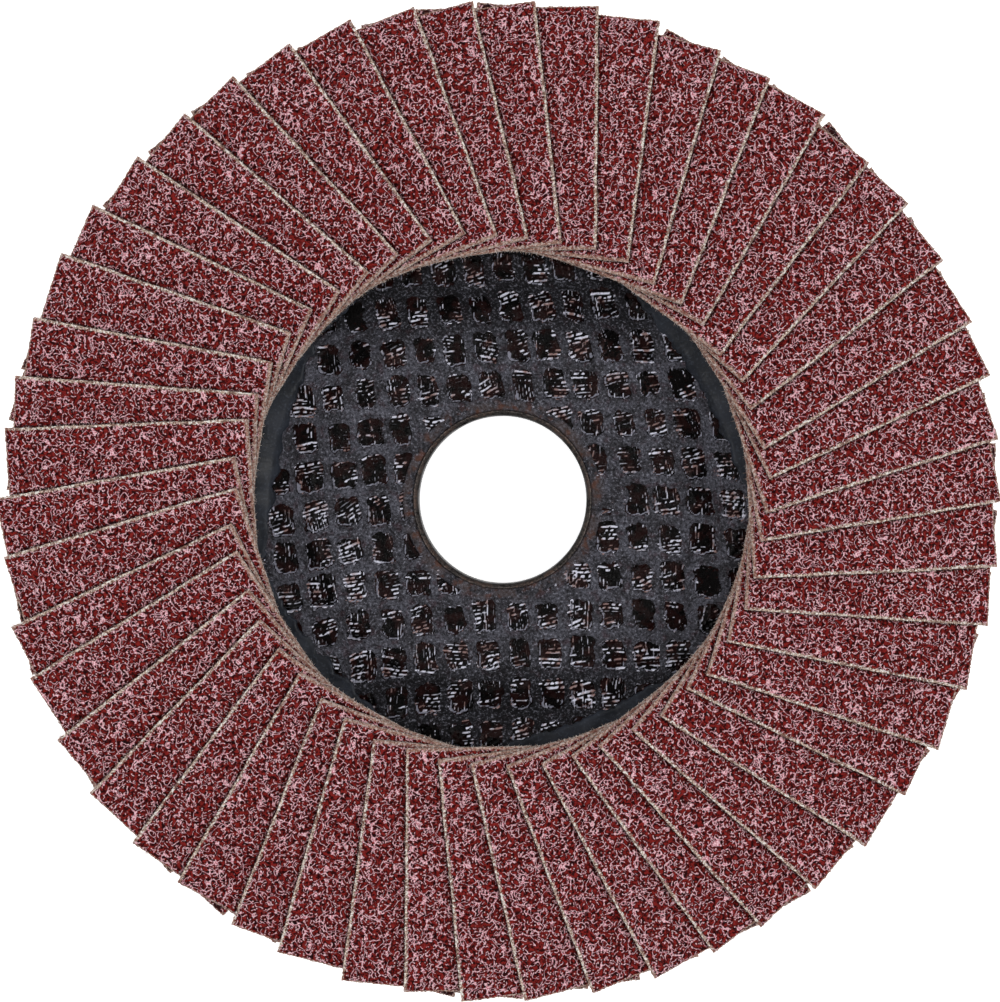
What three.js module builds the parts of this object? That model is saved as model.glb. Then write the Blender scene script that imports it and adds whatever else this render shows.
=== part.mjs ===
// Abrasive flap disc for an angle grinder: 125 mm class, 22.23 mm bore.
//
// Frame: millimetres. The disc lies with its working face up. +Z is the spindle axis and points
// out of the working face. The origin is on that axis, in the plane of the steel ring's back face.
//
// Fifty stiff flaps of abrasive cloth overlap like roof tiles. Each flap is a rectangle that lies
// along a radius. Its clockwise edge is exposed at the working face, and its other side dives
// under the next flaps down to the adhesive. All flaps follow one screw surface that falls by the
// same height in every pitch, so neighbours lie on each other without touching.
import * as THREE from "three";

// Flaps
const FLAP_COUNT = 50;
const PITCH = (2 * Math.PI) / FLAP_COUNT;
const FIRST_FLAP_ANGLE = THREE.MathUtils.degToRad(2.72);
const CORNER_RADIUS = 64.1;
const FLAP_HALF_WIDTH = 11.5;
const FLAP_INNER_END = 31.9;
const FLAP_THICKNESS = 0.9;
const FLAP_FALL_PER_PITCH = 1.05;
const FACE_HEIGHT = 15.4;
const FACE_SLOPE = 0.05;
const FLAP_CELLS = [5, 4];
const ANGLE_SCATTER = THREE.MathUtils.degToRad(0.55);
const WIDTH_SCATTER = 0.35;
const END_SCATTER = 0.35;

// Backing plate: layers from the back face to the front face, each with its inner radius
const PLATE_RADIUS = 55;
const HUB_RADIUS = 24.4;
const WALL_TOP_RADIUS = 31;
const WALL_BEND_SHARE = 0.2;
const HUB_DEPTH = 5;
const LAYER_GAP = 0.02;
const PLATE_BACK = 0.22;
const PLY_THICKNESS = 0.5;
const RESIN_THICKNESS = 0.6;
const LAYER_BORE = 11.6;
const FRONT_PLY_BORE = 12.05;

// Steel centre ring
const BORE_RADIUS = 22.23 / 2;
const RING_FLANGE_RADIUS = 15.7;
const RING_FLANGE_THICKNESS = 0.7;
const RING_WALL = 0.4;
const RING_HEIGHT = 3.4;
const RING_LIP = 0.35;
const RING_LIP_HEIGHT = 0.86;
const RING_CHAMFER = 0.3;
const FLANGE_CLEARANCE = 0.2;

// Paper label on the back, just above the plane of the ring's back face
const LABEL_BACK = 0.06;
const LABEL_THICKNESS = 0.14;
const LABEL_RADIUS = 46;

// Adhesive between the plate and the flaps
const ADHESIVE_INNER = 30.5;
const ADHESIVE_OUTER = 54.4;
const ADHESIVE_FILLET = 0.45;
const ADHESIVE_CLEARANCE = 0.35;

const ROUND_STEPS = 56;

const FALL_PER_RADIAN = FLAP_FALL_PER_PITCH / PITCH;
const FLAP_OUTER_END = Math.sqrt(CORNER_RADIUS ** 2 - FLAP_HALF_WIDTH ** 2);

const disc = new THREE.Group();

function addPart(name, geometry, color, roughness, metalness) {
  const material = new THREE.MeshStandardMaterial({ color, roughness, metalness });
  const mesh = new THREE.Mesh(geometry, material);
  mesh.name = name;
  disc.add(mesh);
  return mesh;
}

// A closed ring from an outline of [radius, height] points that run counter-clockwise.
function ringSolid(outline) {
  const points = [...outline, outline[0]].map(([radius, height]) => new THREE.Vector2(radius, height));
  const geometry = new THREE.LatheGeometry(points, ROUND_STEPS);
  geometry.rotateX(Math.PI / 2);
  return geometry;
}

// A repeatable value from -1 to 1 for flap number index.
function scatter(index, salt) {
  const value = Math.sin(index * 12.9898 + salt * 78.233) * 43758.5453;
  return 2 * (value - Math.floor(value)) - 1;
}

// Height of the working face at a flap's exposed edge.
function faceHeight(radius) {
  return FACE_HEIGHT - FACE_SLOPE * (radius - FLAP_INNER_END);
}

// Height of the screw surface, at an angle counted from the flap's regular centreline.
function flapTop(radius, angle) {
  return faceHeight(radius) - FALL_PER_RADIAN * (angle + Math.asin(FLAP_HALF_WIDTH / radius));
}

function flapGeometry(turn, halfWidth, innerEnd, outerEnd) {
  const length = outerEnd - innerEnd;
  const geometry = new THREE.BoxGeometry(length, 2 * halfWidth, FLAP_THICKNESS, ...FLAP_CELLS, 1);
  geometry.translate(innerEnd + length / 2, 0, -FLAP_THICKNESS / 2);
  const place = geometry.attributes.position;
  for (let i = 0; i < place.count; i += 1) {
    const x = place.getX(i);
    const y = place.getY(i);
    place.setZ(i, place.getZ(i) + flapTop(Math.hypot(x, y), turn + Math.atan2(y, x)));
  }
  return geometry;
}

function addFlaps() {
  for (let index = 0; index < FLAP_COUNT; index += 1) {
    const turn = ANGLE_SCATTER * scatter(index, 1);
    const halfWidth = FLAP_HALF_WIDTH + WIDTH_SCATTER * scatter(index, 2);
    const shift = END_SCATTER * scatter(index, 3);
    const geometry = flapGeometry(turn, halfWidth, FLAP_INNER_END + shift, FLAP_OUTER_END + shift);
    const number = String(index + 1).padStart(2, "0");
    const flap = addPart(`flap_${number}`, geometry, 0x75454a, 0.45, 0);
    flap.rotation.z = FIRST_FLAP_ANGLE + index * PITCH + turn;
  }
}

// Rise of every plate layer above its height at the hub: flat hub, cone-shaped wall with a bend at
// each end, flat flange.
function plateRise(radius) {
  const share = THREE.MathUtils.clamp((radius - HUB_RADIUS) / (WALL_TOP_RADIUS - HUB_RADIUS), 0, 1);
  const bend = (distance) => distance ** 2 / (2 * WALL_BEND_SHARE * (1 - WALL_BEND_SHARE));
  if (share < WALL_BEND_SHARE) {
    return HUB_DEPTH * bend(share);
  }
  if (share > 1 - WALL_BEND_SHARE) {
    return HUB_DEPTH * (1 - bend(1 - share));
  }
  return (HUB_DEPTH * (share - WALL_BEND_SHARE / 2)) / (1 - WALL_BEND_SHARE);
}

// One layer that follows the plate's depressed centre.
function plateLayer(innerRadius, outerRadius, bottom, thickness) {
  const bend = WALL_BEND_SHARE * (WALL_TOP_RADIUS - HUB_RADIUS);
  const wall = [HUB_RADIUS, HUB_RADIUS + bend, WALL_TOP_RADIUS - bend, WALL_TOP_RADIUS];
  const radii = [innerRadius, ...wall, outerRadius];
  const lower = radii.map((radius) => [radius, bottom + plateRise(radius)]);
  const upper = lower.map(([radius, height]) => [radius, height + thickness]).reverse();
  return ringSolid([...lower, ...upper]);
}

function addBackingPlate() {
  const flangeBore = RING_FLANGE_RADIUS + FLANGE_CLEARANCE;
  const layers = [
    ["back_glass_ply", flangeBore, PLY_THICKNESS, 0x3d3c40, 0.75],
    ["back_resin_layer", LAYER_BORE, RESIN_THICKNESS, 0x1c1614, 0.35],
    ["middle_glass_ply", LAYER_BORE, PLY_THICKNESS, 0x4a484a, 0.7],
    ["front_resin_layer", LAYER_BORE, RESIN_THICKNESS, 0x1c1614, 0.25],
    ["front_glass_ply", FRONT_PLY_BORE, PLY_THICKNESS, 0x403e43, 0.7],
  ];
  let height = PLATE_BACK;
  for (const [name, bore, thickness, color, roughness] of layers) {
    addPart(name, plateLayer(bore, PLATE_RADIUS, height, thickness), color, roughness, 0);
    height += thickness + LAYER_GAP;
  }
  return height;
}

function addCentreRing() {
  const outside = BORE_RADIUS + RING_WALL;
  const lip = outside + RING_LIP;
  const lipBase = RING_HEIGHT - RING_LIP_HEIGHT;
  const geometry = ringSolid([
    [BORE_RADIUS + RING_CHAMFER, 0],
    [RING_FLANGE_RADIUS, 0],
    [RING_FLANGE_RADIUS, RING_FLANGE_THICKNESS],
    [outside, RING_FLANGE_THICKNESS],
    [outside, lipBase],
    [lip, lipBase],
    [lip, RING_HEIGHT - RING_CHAMFER],
    [lip - RING_CHAMFER, RING_HEIGHT],
    [BORE_RADIUS + RING_CHAMFER, RING_HEIGHT],
    [BORE_RADIUS, RING_HEIGHT - RING_CHAMFER],
    [BORE_RADIUS, RING_CHAMFER],
  ]);
  addPart("steel_centre_ring", geometry, 0x8a7f72, 0.45, 0.9);
}

function addBackLabel() {
  const bore = RING_FLANGE_RADIUS + 2 * FLANGE_CLEARANCE;
  addPart("back_label", plateLayer(bore, LABEL_RADIUS, LABEL_BACK, LABEL_THICKNESS), 0xd9d6cf, 0.8, 0);
}

// Lowest height that any flap reaches at a radius.
function lowestFlap(radius) {
  return flapTop(radius, Math.asin(FLAP_HALF_WIDTH / radius)) - FLAP_THICKNESS;
}

function addAdhesive(plateTop) {
  const innerCorner = Math.hypot(FLAP_INNER_END, FLAP_HALF_WIDTH);
  const middle = (innerCorner + ADHESIVE_OUTER) / 2;
  const bedTop = lowestFlap(innerCorner) - ADHESIVE_CLEARANCE;
  const flangeTop = plateTop + HUB_DEPTH;
  const geometry = ringSolid([
    [ADHESIVE_INNER, plateTop + plateRise(ADHESIVE_INNER)],
    [WALL_TOP_RADIUS, flangeTop],
    [ADHESIVE_OUTER, flangeTop],
    [ADHESIVE_OUTER, lowestFlap(ADHESIVE_OUTER) - ADHESIVE_CLEARANCE],
    [middle, lowestFlap(middle) - ADHESIVE_CLEARANCE],
    [innerCorner, bedTop],
    [WALL_TOP_RADIUS + ADHESIVE_FILLET, bedTop],
    [ADHESIVE_INNER, plateTop + plateRise(ADHESIVE_INNER) + ADHESIVE_FILLET],
  ]);
  addPart("adhesive_ring", geometry, 0x30343c, 0.3, 0);
}

addFlaps();
const plateTop = addBackingPlate();
addCentreRing();
addBackLabel();
addAdhesive(plateTop);

export default disc;
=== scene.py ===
"""Looks of an abrasive flap disc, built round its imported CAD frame.

Shapes are worked out in millimetres in the frame's own axes (z up, out of the working face) and
scaled to metres when a mesh is made. Each CAD node is replaced by a finer mesh of the same piece.
"""
import math

import bpy
import numpy as np
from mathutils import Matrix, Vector
from mathutils.geometry import delaunay_2d_cdt


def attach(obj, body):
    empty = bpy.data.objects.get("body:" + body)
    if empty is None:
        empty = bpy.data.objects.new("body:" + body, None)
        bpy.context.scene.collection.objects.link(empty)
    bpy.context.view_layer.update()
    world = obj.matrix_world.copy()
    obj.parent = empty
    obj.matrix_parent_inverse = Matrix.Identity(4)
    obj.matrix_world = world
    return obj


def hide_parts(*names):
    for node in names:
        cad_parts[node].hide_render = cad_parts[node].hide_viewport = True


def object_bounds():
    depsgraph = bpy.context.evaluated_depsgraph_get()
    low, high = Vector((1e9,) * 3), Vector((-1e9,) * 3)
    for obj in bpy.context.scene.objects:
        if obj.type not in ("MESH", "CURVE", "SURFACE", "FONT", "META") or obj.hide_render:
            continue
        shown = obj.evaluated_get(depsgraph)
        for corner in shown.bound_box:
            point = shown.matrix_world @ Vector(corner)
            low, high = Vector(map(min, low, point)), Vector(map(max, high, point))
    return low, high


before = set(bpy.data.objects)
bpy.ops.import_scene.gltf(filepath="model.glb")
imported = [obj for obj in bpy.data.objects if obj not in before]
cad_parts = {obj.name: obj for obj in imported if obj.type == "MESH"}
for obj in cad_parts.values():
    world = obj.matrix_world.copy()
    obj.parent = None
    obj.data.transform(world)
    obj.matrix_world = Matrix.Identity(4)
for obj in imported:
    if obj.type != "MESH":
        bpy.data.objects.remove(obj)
cad_low, cad_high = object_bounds()

MM = 0.001
BODY = "root"
SEED = 20

# Flaps: the screw surface that all of them follow
FLAP_NODES = sorted(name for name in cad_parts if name.startswith("flap_"))
PITCH = 2 * math.pi / len(FLAP_NODES)
HALF_WIDTH = 11.5
INNER_END = 31.9
FLAP_THICKNESS = 0.9
FALL_PER_PITCH = 1.05
FACE_HEIGHT = 15.4
FACE_SLOPE = 0.05
FIRST_FLAP_ANGLE = math.radians(2.72)

# Backing plate
PLATE_TOP = 3.0
HUB_RADIUS = 24.4
WALL_TOP_RADIUS = 31.0
WALL_BEND_SHARE = 0.2
HUB_DEPTH = 5.0


# -------------------------------- meshes

def make_piece(name, points, faces, materials, face_materials=None, shares=None):
    """A smooth-shaded mesh object from points in millimetres.

    face_materials numbers each face's material. shares gives each point its values, under the
    names that the node trees read.
    """
    mesh = bpy.data.meshes.new(name)
    mesh.from_pydata(np.asarray(points) * MM, [], faces)
    for material in materials:
        mesh.materials.append(material)
    if face_materials is not None:
        mesh.polygons.foreach_set("material_index", np.asarray(face_materials, np.int32))
    mesh.shade_smooth()
    for key, values in (shares or {}).items():
        layer = mesh.attributes.new(key, "FLOAT", "POINT")
        layer.data.foreach_set("value", np.asarray(values, np.float32))
    piece = bpy.data.objects.new(name, mesh)
    bpy.context.scene.collection.objects.link(piece)
    return piece


def stand_in(piece, node):
    """piece takes the place of a CAD node."""
    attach(piece, BODY)
    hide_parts(node)


def join_parts(parts):
    """Joins (points, faces) pairs with faces of one size."""
    points, faces, start = [], [], 0
    for part_points, part_faces in parts:
        points.append(part_points)
        faces.append(np.asarray(part_faces) + start)
        start += len(part_points)
    return np.concatenate(points), np.concatenate(faces)


def smoothstep(low, high, value):
    share = np.clip((value - low) / (high - low), 0, 1)
    return share * share * (3 - 2 * share)


class Waves:
    """Smooth repeatable noise in the plane: a few sine waves, mostly between -1 and 1."""

    def __init__(self, random, wavelength, count=7):
        angle = random.uniform(0, 2 * math.pi, count)
        rate = 2 * math.pi / (wavelength * random.uniform(0.6, 1.6, count))
        self.rates = np.stack([np.cos(angle) * rate, np.sin(angle) * rate])
        self.phase = random.uniform(0, 2 * math.pi, count)

    def __call__(self, x, y):
        phase = np.multiply.outer(x, self.rates[0]) + np.multiply.outer(y, self.rates[1])
        return np.sin(phase + self.phase).sum(axis=-1) / math.sqrt(len(self.phase))


# -------------------------------- node trees

class Nodes:
    """Short calls that add nodes to a shader or geometry tree."""

    def __init__(self, tree):
        self.tree = tree

    def add(self, kind, inputs=(), **settings):
        node = self.tree.nodes.new(kind)
        for key, value in settings.items():
            setattr(node, key, value)
        self.fill(node, dict(inputs))
        return node

    def fill(self, node, inputs):
        """Links each input to a socket, or sets it to a number or a colour."""
        for key, value in inputs.items():
            if isinstance(value, bpy.types.NodeSocket):
                self.tree.links.new(value, node.inputs[key])
            else:
                node.inputs[key].default_value = value

    def maths(self, operation, *values):
        return self.add("ShaderNodeMath", enumerate(values), operation=operation).outputs[0]

    def times(self, first, second):
        return self.maths("MULTIPLY", first, second)

    def vector(self, operation, *values):
        return self.add("ShaderNodeVectorMath", enumerate(values), operation=operation).outputs[0]

    def scaled(self, vector, scale):
        inputs = {"Vector": vector, "Scale": scale}
        return self.add("ShaderNodeVectorMath", inputs, operation="SCALE").outputs[0]

    def ramp(self, value, low, high, to_low=0.0, to_high=1.0):
        """A smooth step from to_low, at or below low, to to_high, at or above high."""
        inputs = enumerate((value, low, high, to_low, to_high))
        return self.add("ShaderNodeMapRange", inputs, interpolation_type="SMOOTHSTEP").outputs[0]

    def noise(self, vector, size, detail=2.0, roughness=0.5, space="3D", output="Fac"):
        """Noise whose lumps are about size apart."""
        inputs = {"Vector": vector, "Scale": 1 / size, "Detail": detail, "Roughness": roughness}
        return self.add("ShaderNodeTexNoise", inputs, noise_dimensions=space).outputs[output]

    def cells(self, vector, size, feature="F1", output="Distance"):
        """Cells in the plane, about size across."""
        inputs = {"Vector": vector, "Scale": 1 / size}
        node = self.add("ShaderNodeTexVoronoi", inputs, feature=feature, voronoi_dimensions="2D")
        return node.outputs[output]

    def mix(self, share, first, second):
        """A mix of two colours, whose sockets are the colour ones of a node with several kinds."""
        inputs = {0: share, 6: first, 7: second}
        return self.add("ShaderNodeMix", inputs, data_type="RGBA").outputs[2]

    def attribute(self, name):
        return self.add("ShaderNodeAttribute", attribute_name=name).outputs["Fac"]


def srgb(red, green, blue):
    """A shader colour from 0 to 255 display values."""
    shares = [value / 255 for value in (red, green, blue)]
    linear = [((s + 0.055) / 1.055) ** 2.4 if s > 0.04045 else s / 12.92 for s in shares]
    return (*linear, 1.0)


class Look(Nodes):
    """The node tree of a new material, with one Principled shader."""

    def __init__(self, name):
        self.material = bpy.data.materials.new(name)
        self.material.use_nodes = True
        super().__init__(self.material.node_tree)
        self.shader = self.tree.nodes["Principled BSDF"]

    def place_mm(self):
        """The shaded point in millimetres."""
        return self.scaled(self.add("ShaderNodeTexCoord").outputs["Object"], 1000.0)

    def finish(self, colour, roughness, relief, relief_mm, specular=0.5):
        """Fills in the shader and returns the material. Its bumps are relief_mm high."""
        bump = self.add("ShaderNodeBump", {"Height": relief, "Distance": relief_mm * MM})
        self.fill(self.shader, {"Base Color": colour, "Roughness": roughness})
        self.fill(self.shader, {"Specular IOR Level": specular, "Normal": bump.outputs[0]})
        return self.material


# -------------------------------- abrasive flaps

GRAIN_HEIGHT = 0.17
THREADS_PER_MM = 3.2
EDGE_BORDER = 0.33

# How far the exposed edge waves and lifts, and how ragged the face's edge and the sides are
EDGE_WAVE = 0.04
EDGE_LIFT = 0.1
FACE_RAGGED = 0.07
SIDE_RAGGED = 0.05


def gaps(nodes, point, size, least):
    """0 where a ridge shows, and a distance far from any ridge where it is missing."""
    presence = nodes.noise(point, size * 0.8, 0.0, space="2D")
    return nodes.ramp(presence, least - 0.04, least + 0.02, 5.0, 0.0)


def veins(nodes, point, size, reach, least):
    """Distance from curved resin ridges between the grains, in half widths. Some are missing."""
    swirl = nodes.noise(point, size * 0.8, 0.0, space="2D", output="Color")
    swirl = nodes.vector("SUBTRACT", swirl, (0.5, 0.5, 0.5))
    bent = nodes.vector("ADD", point, nodes.scaled(swirl, 1.3 * size))
    edge = nodes.times(nodes.cells(bent, size, "DISTANCE_TO_EDGE"), size)
    return nodes.maths("ADD", nodes.maths("DIVIDE", edge, reach), gaps(nodes, point, size, least))


def curls(nodes, point, size, width, least):
    """Distance from short arcs, which are level lines of a smooth noise, in their half widths."""
    level = nodes.noise(point, size, 0.0, space="2D")
    apart = nodes.vector("ADD", point, (31.7, 12.9, 0.0))
    away = nodes.maths("ABSOLUTE", nodes.maths("SUBTRACT", level, 0.5))
    return nodes.maths("ADD", nodes.maths("DIVIDE", away, width), gaps(nodes, apart, size, least))


def grain_pattern(nodes, point):
    """Resin-coated grain from 0 to about 1: height, ridges, their feet, and glints; the colour
    paints highlights on ridges and glints, and shade at the feet.
    """
    pool = nodes.noise(point, 1.0, 1.0, space="2D")
    reach = nodes.ramp(pool, 0.6, 0.8, 0.07, 0.19)
    wide = veins(nodes, point, 2.2, reach, 0.47)
    narrow = veins(nodes, nodes.vector("ADD", point, (7.3, 3.1, 0.0)), 1.15, 0.068, 0.54)
    arcs = curls(nodes, point, 0.78, 0.064, 0.49)
    away = nodes.maths("MINIMUM", wide, nodes.maths("MINIMUM", narrow, arcs))
    ridge = nodes.maths("SUBTRACT", 1.0, nodes.ramp(away, 0.5, 1.3))
    foot = nodes.maths("SUBTRACT", 1.0, nodes.ramp(away, 1.3, 3.6))
    spot = nodes.maths("SUBTRACT", 1.0, nodes.ramp(nodes.cells(point, 0.5), 0.1, 0.26))
    lot = nodes.cells(point, 0.5, output="Color")
    chosen = nodes.ramp(nodes.add("ShaderNodeSeparateXYZ", {0: lot}).outputs[0], 0.6, 0.88)
    glint = nodes.times(spot, chosen)
    lumps = nodes.noise(point, 0.6, 2.0, 0.6, space="2D")
    high = nodes.maths("MAXIMUM", ridge, glint)
    bed = nodes.ramp(lumps, 0.25, 0.75, 0.0, 0.5)
    height = nodes.maths("ADD", nodes.times(high, 0.6), bed)
    return height, ridge, foot, glint


def grain_relief():
    """A geometry tree that raises the grain along z, by each point's own share."""
    tree = bpy.data.node_groups.new("grain_relief", "GeometryNodeTree")
    for way in ("INPUT", "OUTPUT"):
        tree.interface.new_socket("Geometry", in_out=way, socket_type="NodeSocketGeometry")
    nodes = Nodes(tree)
    source = nodes.add("NodeGroupInput")
    target = nodes.add("NodeGroupOutput")
    point = nodes.scaled(nodes.add("GeometryNodeInputPosition").outputs[0], 1000.0)
    height = grain_pattern(nodes, point)[0]
    share = nodes.add("GeometryNodeInputNamedAttribute", {"Name": "relief"}).outputs["Attribute"]
    rise = nodes.times(nodes.maths("SUBTRACT", height, 0.5), share)
    rise = nodes.times(rise, GRAIN_HEIGHT * MM)
    offset = nodes.add("ShaderNodeCombineXYZ", {"Z": rise}).outputs[0]
    raised = nodes.add("GeometryNodeSetPosition", {"Geometry": source.outputs[0], "Offset": offset})
    tree.links.new(raised.outputs[0], target.inputs[0])
    return tree


def grain_material():
    nodes = Look("abrasive_grain")
    point = nodes.place_mm()
    height, ridge, foot, glint = grain_pattern(nodes, point)
    tone = nodes.noise(point, 0.45, 3.0, 0.7, space="2D")
    speck = nodes.noise(point, 0.2, 2.0, 0.6, space="2D")
    fray = nodes.noise(point, 0.35, 3.0, 0.7)
    grain = nodes.mix(nodes.ramp(tone, 0.38, 0.6), srgb(32, 3, 5), srgb(134, 34, 31))
    # Painted shade, partly also dark resin in the hollows: darker red at the feet of the ridges
    grain = nodes.mix(nodes.times(foot, 0.82), grain, srgb(20, 3, 5))
    # Painted highlights: ridges are painted pale pink and glints near white, as the lit resin ridges
    # and grain tips
    ridge_highlight = nodes.mix(nodes.ramp(speck, 0.34, 0.64), srgb(188, 100, 112), srgb(255, 214, 222))
    colour = nodes.mix(ridge, grain, ridge_highlight)
    colour = nodes.mix(glint, colour, srgb(246, 206, 210))
    # Painted shade: a dark line on the face along the foot of the next flap's exposed edge, where
    # that edge shades it
    crease_shade = nodes.ramp(fray, 0.3, 0.7, -0.15, 0.15)
    crease_shade = nodes.maths("ADD", nodes.attribute("crease_shade"), crease_shade)
    colour = nodes.mix(nodes.ramp(crease_shade, 0.08, 0.42, 0.85, 0.0), colour, srgb(30, 12, 12))
    ragged = nodes.ramp(fray, 0.3, 0.7, -0.16, 0.16)
    ragged = nodes.maths("ADD", nodes.attribute("border"), ragged)
    bare = nodes.maths("SUBTRACT", 1.0, nodes.ramp(ragged, EDGE_BORDER - 0.1, EDGE_BORDER + 0.06))
    end = nodes.times(nodes.attribute("end"), 0.5)
    cloth = nodes.mix(end, cloth_colour(nodes, point), srgb(146, 92, 80))
    colour = nodes.mix(bare, colour, cloth)
    gloss = nodes.ramp(speck, 0.3, 0.7, 0.25, 0.45)
    roughness = nodes.maths("ADD", gloss, nodes.times(bare, 0.5))
    relief = nodes.maths("ADD", height, nodes.times(speck, 0.5))
    return nodes.finish(colour, roughness, relief, 0.15, specular=0.05)


def cloth_colour(nodes, point):
    """Cut cotton-polyester cloth: grey-beige threads, resin stains and pale loose fibres."""
    stretched = nodes.vector("MULTIPLY", point, (1.0, 1.0, 0.5))
    thread = nodes.noise(stretched, 0.2, 3.0, 0.7)
    stain = nodes.noise(point, 1.4)
    fibre = nodes.noise(point, 0.3, 2.0, 0.6)
    clean = nodes.mix(nodes.ramp(thread, 0.38, 0.62), srgb(126, 94, 80), srgb(236, 212, 194))
    stained = nodes.mix(nodes.ramp(stain, 0.5, 0.72), clean, srgb(138, 102, 90))
    stained = nodes.mix(nodes.ramp(fibre, 0.34, 0.46, 0.65, 0.0), stained, srgb(84, 50, 44))
    return nodes.mix(nodes.ramp(fibre, 0.52, 0.6), stained, srgb(248, 242, 236))


def cloth_material():
    nodes = Look("cut_cloth")
    point = nodes.place_mm()
    return nodes.finish(cloth_colour(nodes, point), 0.9, nodes.noise(point, 0.12), 0.08)


def hexagonal_points(width, height, spacing, random):
    """A jittered hexagonal grid inside a rectangle."""
    row_step = spacing * math.sqrt(3) / 2
    rows = np.arange(row_step * 0.6, height - row_step * 0.5, row_step)
    points = []
    for number, y in enumerate(rows):
        x = np.arange(spacing * (0.55 + 0.5 * (number % 2)), width - spacing * 0.5, spacing)
        points.append(np.stack([x, np.full(len(x), y)], axis=1))
    points = np.concatenate(points)
    return points + random.uniform(-0.22, 0.22, points.shape) * spacing


class FlapTemplate:
    """One flap seen from above, in shares of its length (0 to 1) and half width (-1 to 1).

    Its points lie close together where the next flap leaves the face bare, and at the inner end.
    SIDE_SHARES are the depths, in shares of the thickness, of the rows of points round its sides.
    """

    LENGTH = 30.5
    FINE, COARSE, EDGE_STEP = 0.17, 1.1, 0.2
    SIDE_SHARES = (0.2, 0.42, 0.7, 1.0)

    def __init__(self):
        random = np.random.default_rng(SEED)
        length, width = self.LENGTH, 2 * HALF_WIDTH
        loop = self.boundary(length, width)
        fine = hexagonal_points(length, width, self.FINE, random)
        coarse = hexagonal_points(length, width, self.COARSE, random)
        top = np.concatenate([loop, fine[self.bare(fine)], coarse[~self.bare(coarse, 0.3)]])
        under = np.concatenate([loop, coarse])
        self.loop_size = len(loop)
        self.top, self.top_faces = self.share(top), self.triangles(top)
        self.under, self.under_faces = self.share(under), self.triangles(under)

    def share(self, points):
        return np.stack([points[:, 0] / self.LENGTH, points[:, 1] / HALF_WIDTH - 1], axis=1)

    def boundary(self, length, width):
        """Points round the rectangle, counter-clockwise, starting at a corner."""
        corners = np.array([(0, 0), (length, 0), (length, width), (0, width), (0, 0)])
        sides = []
        for start, end in zip(corners, corners[1:]):
            share = np.linspace(0, 1, round(math.dist(start, end) / self.EDGE_STEP), endpoint=False)
            sides.append(start + share[:, None] * (end - start))
        return np.concatenate(sides)

    def bare(self, points, margin=0.0):
        """True where the next flap leaves the face bare, and a little beyond."""
        x, y = points[:, 0] + INNER_END, points[:, 1] - HALF_WIDTH
        next_edge = math.tan(PITCH) * x - HALF_WIDTH / math.cos(PITCH)
        return (y < next_edge + 0.9 - margin) | (points[:, 0] < 2.5 - margin)

    @staticmethod
    def triangles(points):
        _, _, faces, origins, _, _ = delaunay_2d_cdt([Vector(p) for p in points], [], [], 0, 1e-6)
        origin = np.array([o[0] for o in origins])
        return origin[np.array(faces)]


class Flap:
    """Where one flap lies, read from its CAD solid, and its own small irregularities."""

    def __init__(self, index, node):
        self.node = node
        self.random = np.random.default_rng(SEED + 1 + index)
        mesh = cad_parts[node].data
        points = np.array([v.co for v in mesh.vertices]) / MM
        plan = np.unique(points.round(3), axis=0)[:, :2]
        middle = plan.mean(axis=0)
        self.angle = math.atan2(middle[1], middle[0])
        regular = FIRST_FLAP_ANGLE + index * PITCH
        self.turn = (self.angle - regular + math.pi) % (2 * math.pi) - math.pi
        along = plan @ (math.cos(self.angle), math.sin(self.angle))
        across = plan @ (-math.sin(self.angle), math.cos(self.angle))
        self.inner, self.outer = along.min(), along.max()
        self.half = (across.max() - across.min()) / 2
        self.skew = math.radians(self.random.normal(0, 0.6))
        self.edge_wave = Waves(self.random, 9.0, 4)
        self.lift_wave = Waves(self.random, 14.0, 4)

    def surface(self, shares, depth):
        """Points of the flap at a depth below its top."""
        x = self.inner + shares[:, 0] * (self.outer - self.inner)
        exposed = np.clip(-shares[:, 1], 0, 1) ** 4
        y = shares[:, 1] * self.half + EDGE_WAVE * self.edge_wave(x, 0 * x) * exposed
        middle = (self.inner + self.outer) / 2
        x, y = x - y * self.skew, y + (x - middle) * self.skew
        radius, angle = np.hypot(x, y), np.arctan2(y, x)
        face = FACE_HEIGHT - FACE_SLOPE * (radius - INNER_END)
        fall = FALL_PER_PITCH / PITCH * (self.turn + angle + np.arcsin(HALF_WIDTH / radius))
        lift = EDGE_LIFT * (1 + self.lift_wave(x, y)) * exposed
        z = face - fall + lift - depth
        angle = angle + self.angle
        return np.stack([radius * np.cos(angle), radius * np.sin(angle), z], axis=1)

    def beyond_edge(self, points):
        """Distance of points from this flap's exposed edge, seen from above; 1 beyond its ends."""
        cosine, sine = math.cos(self.angle), math.sin(self.angle)
        along = points[:, 0] * cosine + points[:, 1] * sine
        edge = (along - (self.inner + self.outer) / 2) * self.skew - self.half
        distance = edge - (points[:, 1] * cosine - points[:, 0] * sine)
        return np.where((along < self.inner) | (along > self.outer), 1.0, distance)

    def border(self, shares):
        """Distance of each point from the nearest edge; the covered edges count as farther away."""
        length = self.outer - self.inner
        sides = [
            (1 + shares[:, 1]) * self.half,
            0.85 * shares[:, 0] * length,
            2.2 * (1 - shares[:, 0]) * length,
            4.0 * (1 - shares[:, 1]) * self.half,
        ]
        return np.min(sides, axis=0)


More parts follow.
